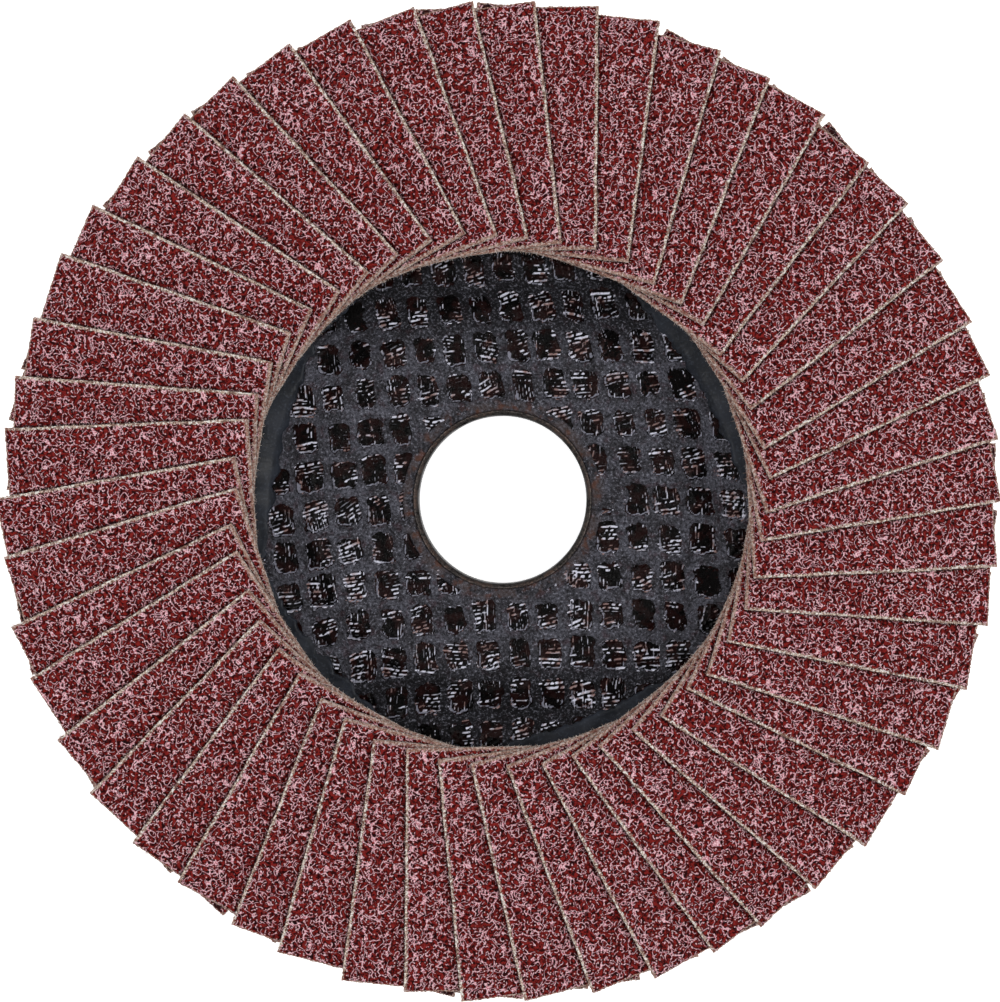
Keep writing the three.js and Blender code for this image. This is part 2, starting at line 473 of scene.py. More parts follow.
def frayed_threads(flap):
    """Short tapered threads that stick out of the cut edges, as points and triangles."""
    random = flap.random
    along = round((flap.outer - flap.inner) * THREADS_PER_MM)
    across = round(2 * flap.half * THREADS_PER_MM)
    edges = [
        (lambda t: (t, -1 + 0 * t), (0.0, -1.0), along),
        (lambda t: (0 * t, 2 * t - 1), (-1.0, 0.0), across),
        (lambda t: (1 + 0 * t, 2 * t - 1), (1.0, 0.0), across),
    ]
    parts = []
    for where, outward, count in edges:
        shares = np.stack(where(random.uniform(0, 1, count)), axis=1)
        root = flap.surface(shares, random.uniform(0.12, FLAP_THICKNESS - 0.1, count))
        swing = random.normal(0, 0.6, count) + flap.angle
        direction = np.stack([
            outward[0] * np.cos(swing) - outward[1] * np.sin(swing),
            outward[0] * np.sin(swing) + outward[1] * np.cos(swing),
            random.normal(0.1, 0.35, count),
        ], axis=1)
        reach = random.uniform(0.08, 0.34, count)[:, None]
        side = np.cross(direction, (0, 0, 1))
        side /= np.linalg.norm(side, axis=1)[:, None]
        up = np.cross(side, direction)
        thick = random.uniform(0.022, 0.05, count)[:, None]
        curl = random.normal(0, 0.06, (count, 3))
        start = root - direction * 0.15
        bend = root + direction * reach * 0.6 + curl
        tip = root + direction * reach + 2.2 * curl
        rings = []
        for centre, scale in ((start, 1.0), (bend, 0.8)):
            for corner in range(3):
                turn = 2 * math.pi * corner / 3
                rings.append(centre + thick * scale * (math.cos(turn) * side + math.sin(turn) * up))
        points = np.stack([*rings, tip], axis=1).reshape(-1, 3)
        pattern = [(0, 2, 1), (3, 4, 6), (4, 5, 6), (5, 3, 6)]
        for a in range(3):
            b = (a + 1) % 3
            pattern += [(a, b, b + 3), (a, b + 3, a + 3)]
        faces = (np.array(pattern)[None] + 7 * np.arange(count)[:, None, None]).reshape(-1, 3)
        parts.append((points, faces))
    return join_parts(parts)


def flap_body(flap, template):
    """Points, triangles and material numbers of a flap's face, its cut sides and its back."""
    loop = template.loop_size
    top = flap.surface(template.top, 0.0)
    ragged = flap.random.uniform(-1, 1, (loop, 2)) * FACE_RAGGED
    rows = []
    for share in template.SIDE_SHARES:
        row = flap.surface(template.top[:loop], FLAP_THICKNESS * share)
        row[:, :2] += flap.random.uniform(-1, 1, (loop, 2)) * SIDE_RAGGED
        rows.append(row)
    top[:loop, :2] += ragged
    under = flap.surface(template.under, FLAP_THICKNESS)[loop:]
    points = np.concatenate([top, *rows, under])
    starts = [0] + [len(top) + number * loop for number in range(len(rows))]
    step = np.arange(loop)
    following = (step + 1) % loop
    sides = []
    for upper, lower in zip(starts, starts[1:]):
        sides.append(np.stack([upper + step, lower + step, lower + following], axis=1))
        sides.append(np.stack([upper + step, lower + following, upper + following], axis=1))
    last_row = starts[-1] + step
    under_map = np.concatenate([last_row, last_row[-1] + 1 + np.arange(len(under))])
    under_faces = under_map[template.under_faces][:, ::-1]
    faces = np.concatenate([template.top_faces, *sides, under_faces])
    grain = len(template.top_faces) + 2 * loop
    return points, faces, (np.arange(len(faces)) >= grain).astype(int)


def build_flap(flap, cover, template, materials, relief):
    """flap is one flap, and cover is the next one, which lies on it."""
    body, body_faces, kinds = flap_body(flap, template)
    threads, thread_faces = frayed_threads(flap)
    points, faces = join_parts([(body, body_faces), (threads, thread_faces)])
    kinds = np.concatenate([kinds, np.ones(len(thread_faces), int)])
    face_size = len(template.top)
    border, end = np.zeros(len(points)), np.zeros(len(points))
    border[:face_size] = flap.border(template.top)
    end[:face_size] = np.abs(template.top[:, 0] - 0.5) > 0.48
    shares = {
        "border": border,
        "end": end,
        "relief": smoothstep(0.15, 0.6, border),
        # Distance beyond the next flap's exposed edge, along which the flap material paints shade
        "crease_shade": cover.beyond_edge(points),
    }
    piece = make_piece(f"abrasive_{flap.node}", points, faces, materials, kinds, shares)
    modifier = piece.modifiers.new("grain", "NODES")
    modifier.node_group = relief
    apply_modifiers(piece)
    stand_in(piece, flap.node)


def apply_modifiers(piece):
    """Replaces a piece's mesh with the one that its modifiers make."""
    evaluated = piece.evaluated_get(bpy.context.evaluated_depsgraph_get())
    mesh = bpy.data.meshes.new_from_object(evaluated)
    old = piece.data
    piece.modifiers.clear()
    piece.data = mesh
    bpy.data.meshes.remove(old)


def build_flaps():
    """All flaps. They share one template, and the next flap round lies on each."""
    template = FlapTemplate()
    materials = [grain_material(), cloth_material()]
    relief = grain_relief()
    flaps = [Flap(index, node) for index, node in enumerate(FLAP_NODES)]
    for flap, cover in zip(flaps, flaps[1:] + flaps[:1]):
        build_flap(flap, cover, template, materials, relief)


# -------------------------------- backing plate

RING_BORE = 22.23 / 2

# Each layer's bore radius, and the heights of its two faces at the hub
LAYERS = {
    "back_glass_ply": (15.9, 0.22, 0.72),
    "back_resin_layer": (11.6, 0.74, 1.34),
    "middle_glass_ply": (11.6, 1.36, 1.86),
    "front_resin_layer": (11.6, 1.88, 2.48),
    "front_glass_ply": (11.83, 2.5, 3.0),
}
PLATE_RADIUS = 55.0

# The mesh is shaped up to this radius, which lies under the flaps
MESH_REACH = 33.6

# Radii of the points on the hub's wall
WALL_RADII = (HUB_RADIUS, 25.3, 26.2, 27.7, 29.2, 30.1, WALL_TOP_RADIUS)
COARSE_WALL_RADII = (18.0, HUB_RADIUS, 25.8, 27.7, 29.6, WALL_TOP_RADIUS)

# Weave of the front ply, seen from above
COLUMN_PITCH = 4.14
ROW_PITCH = 5.09
MIDDLE_WINDOW = 15
WINDOW_HALF = (1.4, 1.86)
WINDOW_CORNER = 0.75
WINDOW_FLOOR = 0.28
FIBRE_PITCH = 0.5

# Weave of the back ply
BACK_PITCH = (4.1, 5.1)

# Steps between points of the two plies and the resin pools, and how far the pools go down
FRONT_STEP = 0.21
BACK_STEP = 0.34
POOL_STEP = 0.162
POOL_DEPTH = 0.5


def plate_rise(radius):
    """Rise of every plate layer above its height at the hub."""
    share = np.clip((radius - HUB_RADIUS) / (WALL_TOP_RADIUS - HUB_RADIUS), 0, 1)
    curve = 2 * WALL_BEND_SHARE * (1 - WALL_BEND_SHARE)
    foot = share ** 2 / curve
    top = 1 - (1 - share) ** 2 / curve
    slope = (share - WALL_BEND_SHARE / 2) / (1 - WALL_BEND_SHARE)
    rise = np.where(share < WALL_BEND_SHARE, foot, np.where(share > 1 - WALL_BEND_SHARE, top, slope))
    return HUB_DEPTH * rise


class Weave:
    """The open glass fabric: where its windows are, and what the resin in each looks like."""

    def __init__(self):
        random = np.random.default_rng(SEED + 500)
        shape = (2 * MIDDLE_WINDOW + 1, 2 * MIDDLE_WINDOW + 1)
        self.half = np.array(WINDOW_HALF) + random.uniform(-1, 1, (*shape, 2)) * (0.2, 0.26)
        self.shift = random.uniform(-1, 1, (*shape, 2)) * (0.18, 0.2)
        self.clearness = np.where(random.uniform(size=shape) < 0.08, 0.5, 1.0)
        self.level_angle = random.normal(0.1, 0.14, shape)
        self.upright_angle = random.normal(math.pi / 2, 0.12, shape)
        self.turn = random.uniform(0, 2 * math.pi, shape)
        self.level_share = random.uniform(-0.7, 0.75, shape)
        self.upright_share = random.uniform(-0.9, 0.5, shape)
        self.phase = random.uniform(0, 9, shape)
        self.outline = Waves(random, 1.5)
        self.patch = Waves(random, 1.6)
        self.bend = Waves(random, 2.4, 4)
        self.breaks = Waves(random, 0.9, 9)
        self.pits = Waves(random, 0.7, 9)
        self.grain = Waves(random, 0.55, 12)
        self.swell = Waves(random, 6.0, 6)

    def place(self, x, y):
        """Window of each point as (column, row), and its place from the window's middle.

        The columns lean and bow a little, and the rows sag.
        """
        u = x + 0.11 * y - (0.45 + 0.025 * x) * (1 - (y / 20) ** 2)
        v = y + 0.0016 * (x - 12) ** 2
        column, row = np.round(u / COLUMN_PITCH), np.round(v / ROW_PITCH)
        cell = column.astype(int) + MIDDLE_WINDOW, row.astype(int) + MIDDLE_WINDOW
        return cell, u - column * COLUMN_PITCH, v - row * ROW_PITCH

    def outside(self, x, y):
        """Signed distance of each point from the edge of its window; negative inside."""
        cell, u, v = self.place(x, y)
        reach_u = np.abs(u - self.shift[cell][..., 0]) - self.half[cell][..., 0] + WINDOW_CORNER
        reach_v = np.abs(v - self.shift[cell][..., 1]) - self.half[cell][..., 1] + WINDOW_CORNER
        corner = np.hypot(np.maximum(reach_u, 0), np.maximum(reach_v, 0))
        distance = corner + np.minimum(np.maximum(reach_u, reach_v), 0) - WINDOW_CORNER
        return distance + 0.14 * self.outline(x, y)

    def openness(self, x, y):
        """1 inside an open window, 0 on the fabric and where resin has closed a window."""
        cell = self.place(x, y)[0]
        radius = np.hypot(x, y)
        smeared = smoothstep(12.8, 13.8, radius)
        smeared = smeared * (1 - smoothstep(MESH_REACH - 0.6, MESH_REACH, radius))
        beside_bore = smoothstep(1.8, 2.8, np.hypot(x - 14.6, 1.2 * (y - 0.5)))
        inside = 1 - smoothstep(-0.14, 0.1, self.outside(x, y))
        return inside * self.clearness[cell] * smeared * beside_bore

    def fibres(self, x, y):
        """Glass fibres in the resin of each window, from 0 to 1: two crossing sets in patches."""
        cell, u, v = self.place(x, y)
        turn = self.turn[cell]
        side = (u * np.cos(turn) + v * np.sin(turn)) / 1.5 + 0.4 * self.patch(x, y)
        level = self.comb(cell, u, v, self.level_angle, x, y, 1.0)
        upright = self.comb(cell, u, v, self.upright_angle, x, y, 0.8)
        level = level * smoothstep(-0.15, 0.15, self.level_share[cell] - side)
        upright = 0.7 * upright * smoothstep(-0.15, 0.15, side + self.upright_share[cell])
        return np.maximum(level, upright)

    def comb(self, cell, u, v, angle, x, y, pitch):
        """Parallel ridges across a window; each has its own brightness and some gaps."""
        across = v * np.cos(angle[cell]) - u * np.sin(angle[cell])
        turn = across / (pitch * FIBRE_PITCH) + self.phase[cell] + 0.22 * self.bend(x, y)
        number = np.floor(turn)
        lot = np.sin(number * 12.9898 + self.phase[cell] * 37.7) * 43758.5453
        strength = 0.3 + 0.8 * (lot - np.floor(lot))
        ridge = np.sin(math.pi * (turn - number)) ** 2.2
        return ridge * strength * smoothstep(-0.75, -0.1, self.breaks(x, y))

    def lit_rim(self, x, y):
        """Painted highlight: a bright line where resin climbs the lower and left edges of a window,
        from 0 to 1.
        """
        u, v = self.place(x, y)[1:]
        facing = -(0.45 * u / WINDOW_HALF[0] + 0.9 * v / WINDOW_HALF[1])
        line = 1 - smoothstep(0.04, 0.13, np.abs(self.outside(x, y) + 0.12))
        return line * smoothstep(-0.2, 0.6, facing + 0.7 * self.patch(x, y))


def polar_grid(radii, spokes):
    """Points in the plane on rings with equal spokes."""
    turn = 2 * math.pi * np.arange(spokes) / spokes
    return np.multiply.outer(radii, np.cos(turn)), np.multiply.outer(radii, np.sin(turn))


def ring_sheet(x, y, z, closed=True):
    """Points and faces of a grid of rings. closed also joins the last ring to the first."""
    rings, spokes = x.shape
    inner = np.arange(rings if closed else rings - 1)[:, None]
    outer = (inner + 1) % rings
    step = np.arange(spokes)
    following = (step + 1) % spokes
    corners = ((inner, step), (outer, step), (outer, following), (inner, following))
    faces = np.stack([(spokes * ring + spoke).ravel() for ring, spoke in corners], axis=1)
    return np.stack([x.ravel(), y.ravel(), z.ravel()], axis=1), faces


def build_ring(node, name, material, grid, shares=None):
    """Replaces a node by a closed sheet of rings with one material."""
    points, faces = ring_sheet(*grid)
    stand_in(make_piece(name, points, faces, [material], shares=shares), node)


def build_front_ply(weave):
    spokes = 750
    bore, bottom, top = LAYERS["front_glass_ply"]
    fine = np.arange(bore, MESH_REACH, FRONT_STEP)
    coarse = np.linspace(MESH_REACH, PLATE_RADIUS, 14)
    upper = np.concatenate([fine, coarse])
    lower = np.concatenate([coarse[::-2], COARSE_WALL_RADII[::-1], [bore]])
    x, y = polar_grid(np.concatenate([upper, lower]), spokes)
    radius = np.hypot(x, y)
    base = plate_rise(radius)
    z = bottom + base
    above = slice(0, len(upper))
    face = x[above], y[above]
    opened = weave.openness(*face)
    fabric = 0.03 * weave.grain(*face) + 0.05 * weave.swell(*face)
    fabric *= smoothstep(bore, 13, radius[above])
    crown = 0.06 * smoothstep(0.1, 0.9, weave.outside(*face))
    z[above] = top - 0.06 + base[above] + crown + fabric - (top - bottom - 0.08) * opened
    z[0] = np.minimum(z[0], top - 0.04)
    shares = {"opened": np.concatenate([opened.ravel(), np.zeros(len(lower) * spokes)])}
    grid = x, y, z
    build_ring("front_glass_ply", "front_mesh_ply", ply_material(), grid, shares)


def as_triangles(faces):
    """Cuts four-sided faces into triangles."""
    return np.concatenate([faces[:, [0, 1, 2]], faces[:, [0, 2, 3]]])


def close_patches(points, faces, labels, depth):
    """Closes open patches: a wall goes down from each rim, and a fan of triangles closes its foot.

    labels tells which patch each point belongs to. Returns points and triangles.
    """
    edges = np.concatenate([faces[:, [side, (side + 1) % 4]] for side in range(4)])
    size = len(points)
    rim = edges[~np.isin(edges[:, 0] * size + edges[:, 1], edges[:, 1] * size + edges[:, 0])]
    rim_points, place = np.unique(rim, return_inverse=True)
    low = size + place.reshape(rim.shape)
    feet = points[rim_points] - (0, 0, depth)
    patch = np.unique(labels[rim_points], return_inverse=True)[1]
    count = np.bincount(patch)
    middles = np.stack([np.bincount(patch, feet[:, axis]) / count for axis in range(3)], axis=1)
    apex = size + len(feet) + patch[place.reshape(rim.shape)[:, 0]]
    walls = np.stack([rim[:, 1], rim[:, 0], low[:, 0], low[:, 1]], axis=1)
    fans = np.stack([low[:, 1], low[:, 0], apex], axis=1)
    triangles = np.concatenate([as_triangles(faces), as_triangles(walls), fans])
    return np.concatenate([points, feet, middles]), triangles


def build_front_resin(weave):
    """The resin layer with its glossy pools that rise into the windows of the front ply."""
    side = np.arange(-MESH_REACH, MESH_REACH, POOL_STEP)
    x, y = np.meshgrid(side, side)
    radius = np.hypot(x, y)
    cell, u, v = weave.place(x, y)
    wanted = (weave.outside(x, y) < 0.26) & (radius > 12.4) & (radius < MESH_REACH)
    wanted &= (np.abs(u) < COLUMN_PITCH / 2 - 0.12) & (np.abs(v) < ROW_PITCH / 2 - 0.12)
    # rim marks where the pool material paints a highlight along the lower and left window edges
    fibre, rim = weave.fibres(x, y), weave.lit_rim(x, y)
    z = LAYERS["front_glass_ply"][2] - WINDOW_FLOOR + plate_rise(radius)
    z += 0.1 * fibre + 0.05 * weave.pits(x, y) + 0.12 * smoothstep(-0.5, 0.0, weave.outside(x, y))
    number = np.full(x.shape, -1)
    number[wanted] = np.arange(wanted.sum())
    corners = [number[:-1, :-1], number[:-1, 1:], number[1:, 1:], number[1:, :-1]]
    corners = np.stack(corners, axis=-1).reshape(-1, 4)
    labels = (cell[0] * 100 + cell[1])[wanted]
    tops = corners[(corners >= 0).all(axis=1)]
    pools = close_patches(np.stack([x, y, z], axis=-1)[wanted], tops, labels, POOL_DEPTH)
    slab, slab_faces = layer_body("front_resin_layer", 240)
    points, faces = join_parts([pools, (slab, as_triangles(slab_faces))])
    rest = np.zeros(len(points) - wanted.sum())
    shares = {
        "fibre": np.concatenate([fibre[wanted], rest]),
        "rim": np.concatenate([rim[wanted], rest]),
    }
    piece = make_piece("front_resin_pools", points, faces, [pool_material()], shares=shares)
    stand_in(piece, "front_resin_layer")


def layer_body(node, spokes):
    """A plain layer with a roughly cut outer rim."""
    random = np.random.default_rng(SEED + 600 + list(LAYERS).index(node))
    bore, bottom, top = LAYERS[node]
    half = (bore, 13.5, 18.0, *WALL_RADII, 38.0, 46.0, 54.6, 54.95)
    radii = np.array([*half, *half[::-1]])
    x, y = polar_grid(radii, spokes)
    rim = np.abs(radii - PLATE_RADIUS) < 0.5
    cut = 1 + random.uniform(-0.28, 0.05, (rim.sum(), spokes)) / PLATE_RADIUS
    x[rim] *= cut
    y[rim] *= cut
    above = np.arange(len(radii)) < len(radii) // 2
    z = plate_rise(np.hypot(x, y)) + np.where(above, top, bottom)[:, None]
    z[rim] += random.uniform(-1, 1, (rim.sum(), spokes)) * 0.02
    return ring_sheet(x, y, z)


def build_inner_layers():
    for node, material, slot in (
        ("middle_glass_ply", ply_edge_material(), "glass_mesh"),
        ("back_resin_layer", resin_material(), "plate_resin"),
    ):
        points, faces = layer_body(node, 480)
        stand_in(make_piece(f"{node}_body", points, faces, [material]), node)


def build_back_ply():
    """The back ply, whose fabric shows between the label and the rim."""
    spokes = 1000
    bore, bottom, top = LAYERS["back_glass_ply"]
    fine = np.arange(PLATE_RADIUS, 45.0, -BACK_STEP)
    wall = (bore, *COARSE_WALL_RADII, 38.0)
    lower = np.concatenate([fine, wall[::-1]])
    x, y = polar_grid(np.concatenate([lower, wall, [46.0, 54.9]]), spokes)
    radius = np.hypot(x, y)
    z = plate_rise(radius) + top
    below = slice(0, len(fine))
    cell_x = np.abs((x[below] / BACK_PITCH[0]) % 1 - 0.5)
    cell_y = np.abs((y[below] / BACK_PITCH[1]) % 1 - 0.5)
    window = smoothstep(0.3, 0.22, cell_x) * smoothstep(0.32, 0.25, cell_y)
    window = window * smoothstep(54.6, 53.6, radius[below])
    z[:len(lower)] += bottom - top
    z[below] += 0.22 * window
    opened = np.zeros(x.shape)
    opened[below] = window
    shares = {"opened": opened.ravel()}
    grid = x, y, z
    build_ring("back_glass_ply", "back_mesh_ply", ply_material(), grid, shares)


def build_label():
    """Plain paper disc with printed colour bands and no lettering."""
    wrinkle = Waves(np.random.default_rng(SEED + 700), 9.0)
    spokes = 300
    radii = np.array([16.1, 18, 20, 22, *WALL_RADII, 34, 37, 40, 43, 45.9, 46])
    x, y = polar_grid(np.concatenate([radii, radii[::-1]]), spokes)
    above = (np.arange(2 * len(radii)) < len(radii))[:, None]
    z = plate_rise(np.hypot(x, y)) + np.where(above, 0.2, 0.07) + 0.01 * wrinkle(x, y)
    build_ring("back_label", "paper_back_label", label_material(), (x, y, z))


def build_centre_ring():
    """Pressed steel ring: flange at the back, thin wall and a rolled lip round the bore."""
    dents = Waves(np.random.default_rng(SEED + 800), 3.0)
    flange = [(13.0, 0.0), (15.5, 0.0), (15.68, 0.1), (15.7, 0.35), (15.68, 0.62), (15.5, 0.7)]
    outside = [(13.0, 0.7), (11.6, 0.7), (11.53, 1.0), (11.53, 2.2), (11.56, 2.55), (11.66, 2.9)]
    crest = [(11.74, 3.12), (11.8, 3.26), (11.77, 3.36), (11.68, 3.4), (11.58, 3.37), (11.5, 3.3)]
    inside = [(11.36, 3.22), (11.24, 3.1), (11.15, 2.95)]
    bore = [(RING_BORE, 2.8), (RING_BORE, 1.6), (RING_BORE, 0.3), (RING_BORE + 0.1, 0.08)]
    profile = np.array([(RING_BORE + 0.3, 0.0), *flange, *outside, *crest, *inside, *bore])
    spokes = 320
    x, y = polar_grid(profile[:, 0], spokes)
    height = profile[:, 1:]
    z = height - 0.05 * np.abs(dents(x, y)) * (height > 3.0)
    points, faces = ring_sheet(x, y, z)
    piece = make_piece("pressed_centre_ring", points, faces[:, ::-1], [ring_material()])
    stand_in(piece, "steel_centre_ring")


# Squeezed-out epoxy: direction of each crescent's middle and half its spread in degrees, and depth
CRESCENTS = (
    (30, 28, 3.0), (167, 27, 3.2), (222, 18, 1.9), (293, 24, 2.3), (131, 12, 0.8), (200, 8, 0.9),
)
BED_FOOT = 7.98


def build_adhesive():
    """Dark epoxy under the flaps. It has squeezed out over the wall in some places."""
    random = np.random.default_rng(SEED + 900)
    spokes = 900
    turn = 2 * math.pi * np.arange(spokes) / spokes
    rim = np.full(spokes, 32.7)
    for centre, half, depth in CRESCENTS:
        away = (turn - math.radians(centre) + math.pi) % (2 * math.pi) - math.pi
        rim -= depth * np.sqrt(np.clip(1 - (away / math.radians(half)) ** 2, 0, 1))
    for wavelength, reach in ((2.6, 0.22), (0.9, 0.1)):
        rim += reach * Waves(random, wavelength)(rim * np.cos(turn), rim * np.sin(turn))
    swell = Waves(random, 5.0)
    toe = ((-0.02, -0.1), (0.0, 0.06), (0.1, 0.14), (0.3, 0.2), (0.6, 0.23), (1.0, 0.25))
    rows = []
    for inward, rise in toe:
        radius = rim + inward
        rows.append((radius, PLATE_TOP + plate_rise(radius) + rise))
    level = np.ones(spokes)
    bed = ((33.9, 8.9), (38.0, 8.9), (43.0, 9.0), (49.0, 8.9), (53.6, 8.75))
    rows += [(radius * level, height * level) for radius, height in bed]
    bead = ((54.15, 8.65), (54.4, 8.4), (54.3, 8.1), (54.0, BED_FOOT))
    lumps = Waves(random, 2.0)(54 * np.cos(turn), 54 * np.sin(turn))
    for radius, height in bead:
        rows.append((radius + 0.18 * lumps, height + 0.06 * lumps))
    rows += [(radius * level, BED_FOOT * level) for radius in (50.0, 42.0, 34.5)]
    radii, z = np.stack(rows, axis=1)
    x, y = radii * np.cos(turn), radii * np.sin(turn)
    z[2:6] += 0.07 * swell(x, y)[2:6]
    build_ring("adhesive_ring", "epoxy_bed", epoxy_material(), (x, y, z))


# -------------------------------- plate materials

def radius_of(nodes, point):
    """Distance of a point from the spindle axis."""
    flat = nodes.vector("MULTIPLY", point, (1.0, 1.0, 0.0))
    return nodes.add("ShaderNodeVectorMath", {0: flat}, operation="LENGTH").outputs["Value"]


def ply_material():
    """Charcoal fabric: rusty round the bore, with painted shade towards both ends of y, where the
    walls face away from the main lights.
    """
    nodes = Look("resin_soaked_fabric")
    point = nodes.place_mm()
    radius = radius_of(nodes, point)
    speck = nodes.noise(point, 0.34, 3.0, 0.8)
    cloud = nodes.noise(point, 2.6, 3.0)
    tint = nodes.noise(nodes.vector("ADD", point, (9.0, 4.0, 1.0)), 1.3)
    base = nodes.mix(nodes.ramp(cloud, 0.35, 0.65), srgb(62, 61, 66), srgb(90, 90, 99))
    base = nodes.mix(nodes.ramp(tint, 0.52, 0.7, 0.0, 0.55), base, srgb(70, 48, 54))
    base = nodes.mix(nodes.ramp(speck, 0.38, 0.52, 0.8, 0.0), base, srgb(14, 13, 15))
    # Painted highlights: pale specks where the glass threads catch the light
    base = nodes.mix(nodes.ramp(speck, 0.55, 0.68, 0.0, 0.7), base, srgb(160, 161, 174))
    stain = nodes.times(nodes.ramp(cloud, 0.4, 0.6), nodes.ramp(radius, 12.4, 14.2, 1.0, 0.0))
    base = nodes.mix(nodes.times(stain, 0.5), base, srgb(82, 66, 58))
    rust = nodes.times(nodes.ramp(tint, 0.5, 0.7), nodes.ramp(radius, 12.2, 13.8, 0.6, 0.0))
    base = nodes.mix(rust, base, srgb(106, 70, 54))
    # Painted shade: towards both ends of y the fabric is painted near black, as on walls turned away
    # from the main lights
    side = nodes.maths("ABSOLUTE", nodes.add("ShaderNodeSeparateXYZ", {0: point}).outputs[1])
    painted_wall_shade = nodes.times(nodes.ramp(side, 18.5, 25.0), nodes.ramp(speck, 0.5, 0.62, 0.88, 0.3))
    base = nodes.mix(painted_wall_shade, base, srgb(14, 13, 15))
    base = nodes.mix(nodes.ramp(nodes.attribute("opened"), 0.14, 0.42), base, srgb(4, 2, 2))
    roughness = nodes.ramp(cloud, 0.3, 0.7, 0.3, 0.5)
    return nodes.finish(base, roughness, speck, 0.3, specular=0.1)


def pool_material():
    """Brown-black resin with the pale fibres of the fabric below it. The fibres are painted as
    bright as their highlights; pale specks and a line on the window edges are painted highlights.
    """
    nodes = Look("resin_pool")
    point = nodes.place_mm()
    speck = nodes.noise(point, 0.35, 3.0, 0.7)
    cloud = nodes.noise(point, 1.6)
    depth = nodes.mix(nodes.ramp(cloud, 0.4, 0.66), srgb(2, 1, 1), srgb(28, 9, 8))
    # The fibres are glass threads under the resin, painted as bright as their highlights
    pale = nodes.mix(nodes.ramp(cloud, 0.45, 0.62), srgb(226, 226, 242), srgb(150, 122, 118))
    broken = nodes.ramp(speck, 0.32, 0.5, 0.5, 1.0)
    shown = nodes.times(nodes.ramp(nodes.attribute("fibre"), 0.26, 0.66), broken)
    colour = nodes.mix(shown, depth, pale)
    # Painted highlights: pale specks as glints on the resin
    colour = nodes.mix(nodes.ramp(speck, 0.66, 0.74, 0.0, 0.8), colour, srgb(190, 188, 196))
    # Painted highlight along the lower and left edges of each window
    line = nodes.ramp(nodes.attribute("rim"), 0.3, 0.7)
    line = nodes.times(line, nodes.ramp(speck, 0.36, 0.5, 0.2, 0.85))
    colour = nodes.mix(line, colour, srgb(142, 142, 156))
    roughness = nodes.ramp(speck, 0.3, 0.7, 0.12, 0.3)
    return nodes.finish(colour, roughness, speck, 0.08, specular=0.08)


def resin_material():
    """Brown resin at the rim and in the bore."""
    nodes = Look("plate_resin_edge")
    speck = nodes.noise(nodes.place_mm(), 0.4, 3.0)
    colour = nodes.mix(nodes.ramp(speck, 0.35, 0.65), srgb(22, 14, 12), srgb(52, 34, 26))
    roughness = nodes.ramp(speck, 0.3, 0.7, 0.2, 0.45)
    return nodes.finish(colour, roughness, speck, 0.05)


def ply_edge_material():
    """Cut glass threads in dark resin."""
    nodes = Look("cut_glass_fabric")
    squeezed = nodes.vector("MULTIPLY", nodes.place_mm(), (1.0, 1.0, 2.5))
    thread = nodes.noise(squeezed, 0.3, 3.0, 0.7)
    colour = nodes.mix(nodes.ramp(thread, 0.4, 0.66), srgb(46, 44, 46), srgb(168, 164, 156))
    roughness = nodes.ramp(thread, 0.3, 0.7, 0.5, 0.8)
    return nodes.finish(colour, roughness, thread, 0.06)


def ring_material():
    """Dark steel with rust stains, a painted highlight in places on its lip and painted shade down
    the bore.
    """
    nodes = Look("stained_steel")
    point = nodes.place_mm()
    radius = radius_of(nodes, point)
    fine = nodes.noise(point, 0.3, 4.0, 0.7)
    cloud = nodes.noise(point, 2.2, 3.0)
    steel = nodes.mix(nodes.ramp(fine, 0.35, 0.65), srgb(30, 28, 27), srgb(88, 82, 79))
    rust = nodes.mix(nodes.ramp(fine, 0.4, 0.6), srgb(32, 24, 21), srgb(84, 62, 50))
    share = nodes.ramp(cloud, 0.42, 0.6)
    colour = nodes.mix(share, steel, rust)
    # Painted highlight: a pale line in places on the crest of the lip, where it catches the light
    crest = nodes.times(nodes.ramp(radius, 11.6, 11.68), nodes.ramp(fine, 0.5, 0.6, 0.0, 0.6))
    colour = nodes.mix(crest, colour, srgb(132, 120, 114))
    # Painted shade: near black on the inside of the lip and down the bore
    colour = nodes.mix(nodes.ramp(radius, 11.2, 11.45, 0.85, 0.0), colour, srgb(14, 11, 10))
    metallic = nodes.maths("SUBTRACT", 0.85, nodes.times(share, 0.7))
    nodes.fill(nodes.shader, {"Metallic": metallic})
    roughness = nodes.ramp(fine, 0.3, 0.7, 0.3, 0.6)
    return nodes.finish(colour, roughness, fine, 0.05)


def epoxy_material():
    nodes = Look("slate_epoxy")
    point = nodes.place_mm()
    fine = nodes.noise(point, 0.35, 3.0)
    cloud = nodes.noise(point, 3.0)
    colour = nodes.mix(nodes.ramp(cloud, 0.3, 0.7), srgb(24, 27, 33), srgb(40, 44, 53))
    colour = nodes.mix(nodes.ramp(fine, 0.5, 0.75, 0.0, 0.4), colour, srgb(74, 80, 92))
    roughness = nodes.ramp(cloud, 0.3, 0.7, 0.35, 0.5)
    return nodes.finish(colour, roughness, fine, 0.03, specular=0.2)


def printed_ring(nodes, radius, inner, outer):
    """1 between two radii, with edges 0.1 mm wide."""
    within = nodes.ramp(radius, outer, outer + 0.1, 1.0, 0.0)
    return nodes.times(nodes.ramp(radius, inner, inner + 0.1), within)


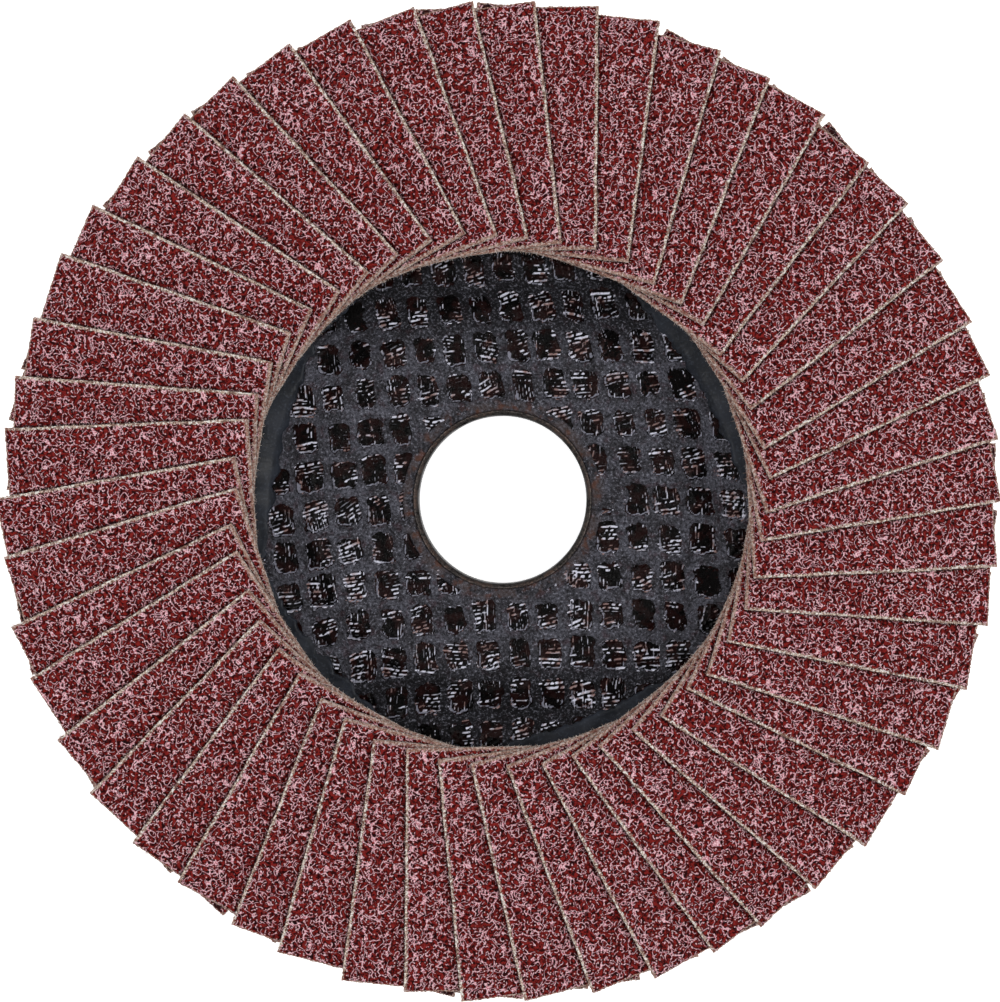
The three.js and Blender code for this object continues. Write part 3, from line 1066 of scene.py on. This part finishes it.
def label_material():
    """Off-white paper with a dark band and a red ring, by radius."""
    nodes = Look("printed_paper")
    point = nodes.place_mm()
    radius = radius_of(nodes, point)
    pulp = nodes.noise(point, 0.5, 4.0, 0.7)
    paper = nodes.mix(nodes.ramp(pulp, 0.3, 0.7), srgb(206, 202, 192), srgb(232, 229, 220))
    red = nodes.mix(nodes.ramp(pulp, 0.3, 0.7), srgb(140, 32, 30), srgb(168, 44, 38))
    dark = nodes.mix(nodes.ramp(pulp, 0.3, 0.7), srgb(40, 40, 44), srgb(58, 58, 62))
    colour = nodes.mix(printed_ring(nodes, radius, 40.0, 43.6), paper, red)
    colour = nodes.mix(printed_ring(nodes, radius, 32.0, 35.0), colour, dark)
    roughness = nodes.ramp(pulp, 0.3, 0.7, 0.6, 0.85)
    return nodes.finish(colour, roughness, pulp, 0.03)


def build_hub():
    weave = Weave()
    build_front_ply(weave)
    build_front_resin(weave)
    build_inner_layers()
    build_back_ply()
    build_label()
    build_centre_ring()
    build_adhesive()


# -------------------------------- stage, light and camera

# Camera, in millimetres: the view is VIEW_WIDTH wide in the plane of the flaps
FLAP_PLANE = 13.8
CAMERA_DISTANCE = 285.0
CAMERA_OFFSET = (7.7, 2.8)
VIEW_WIDTH = 127.75
FRAME_OFFSET = (0.04, 0.08)

# Soft lights, in metres and degrees, with the direction and power of each
SOFTBOX_DISTANCE = 0.9
SOFTBOX_SIZE = 0.35
SOFTBOX_ELEVATION = 56
SOFTBOXES = ((0, 2.7), (180, 2.1), (90, 0.9), (270, 0.9))

# Floor, in metres: its radii and heights, and the gap below the disc
FLOOR_PROFILE = (
    (0.001, 0), (1.3, 0), (1.6, 0.03), (1.85, 0.12), (2.05, 0.3), (2.15, 0.5), (2.18, 0.7),
)
FLOOR_GAP = 0.0001


def build_stage():
    """A pale floor whose rim curves up into a backdrop."""
    spokes = 64
    radii, heights = np.transpose(FLOOR_PROFILE)
    x, y = polar_grid(radii, spokes)
    points, faces = ring_sheet(x, y, np.repeat(heights, spokes), closed=False)
    points = np.concatenate([points, [(0, 0, 0)]]) + (0, 0, cad_low.z - FLOOR_GAP)
    middle = [(len(points) - 1, step, (step + 1) % spokes) for step in range(spokes)]
    nodes = Look("pale_floor")
    nodes.fill(nodes.shader, {"Base Color": (0.9, 0.9, 0.9, 1), "Roughness": 0.9})
    nodes.fill(nodes.shader, {"Emission Color": (1, 1, 1, 1), "Emission Strength": 0.7})
    make_piece("floor", points / MM, [*faces.tolist(), *middle], [nodes.material])


def add_softbox(azimuth, power):
    """A square soft light that points at the disc."""
    name = f"softbox_{azimuth}"
    light = bpy.data.lights.new(name, "AREA")
    light.shape = "SQUARE"
    light.size = SOFTBOX_SIZE
    light.energy = power
    lamp = bpy.data.objects.new(name, light)
    turn, rise = math.radians(azimuth), math.radians(SOFTBOX_ELEVATION)
    level = math.cos(rise)
    away = Vector((math.cos(turn) * level, math.sin(turn) * level, math.sin(rise)))
    lamp.location = away * SOFTBOX_DISTANCE
    lamp.rotation_euler = away.to_track_quat("Z", "Y").to_euler()
    bpy.context.scene.collection.objects.link(lamp)


def build_light():
    world = bpy.data.worlds.new("studio")
    world.use_nodes = True
    background = world.node_tree.nodes["Background"]
    background.inputs["Color"].default_value = (0.95, 0.97, 1.0, 1)
    background.inputs["Strength"].default_value = 0.18
    bpy.context.scene.world = world
    for azimuth, power in SOFTBOXES:
        add_softbox(azimuth, power)


def build_camera():
    """Looks straight down from beside the disc's axis; the shift keeps the disc in the frame."""
    data = bpy.data.cameras.new("camera")
    data.lens = data.sensor_width * CAMERA_DISTANCE / VIEW_WIDTH
    data.shift_x = -(CAMERA_OFFSET[0] + FRAME_OFFSET[0]) / VIEW_WIDTH
    data.shift_y = -(CAMERA_OFFSET[1] + FRAME_OFFSET[1]) / VIEW_WIDTH
    data.clip_start, data.clip_end = 0.01, 20
    camera = bpy.data.objects.new("camera", data)
    camera.location = Vector((*CAMERA_OFFSET, FLAP_PLANE + CAMERA_DISTANCE)) * MM
    bpy.context.scene.collection.objects.link(camera)
    bpy.context.scene.camera = camera
    bpy.context.scene.view_settings.view_transform = "Standard"


build_camera()
build_stage()
build_light()
build_flaps()
build_hub()
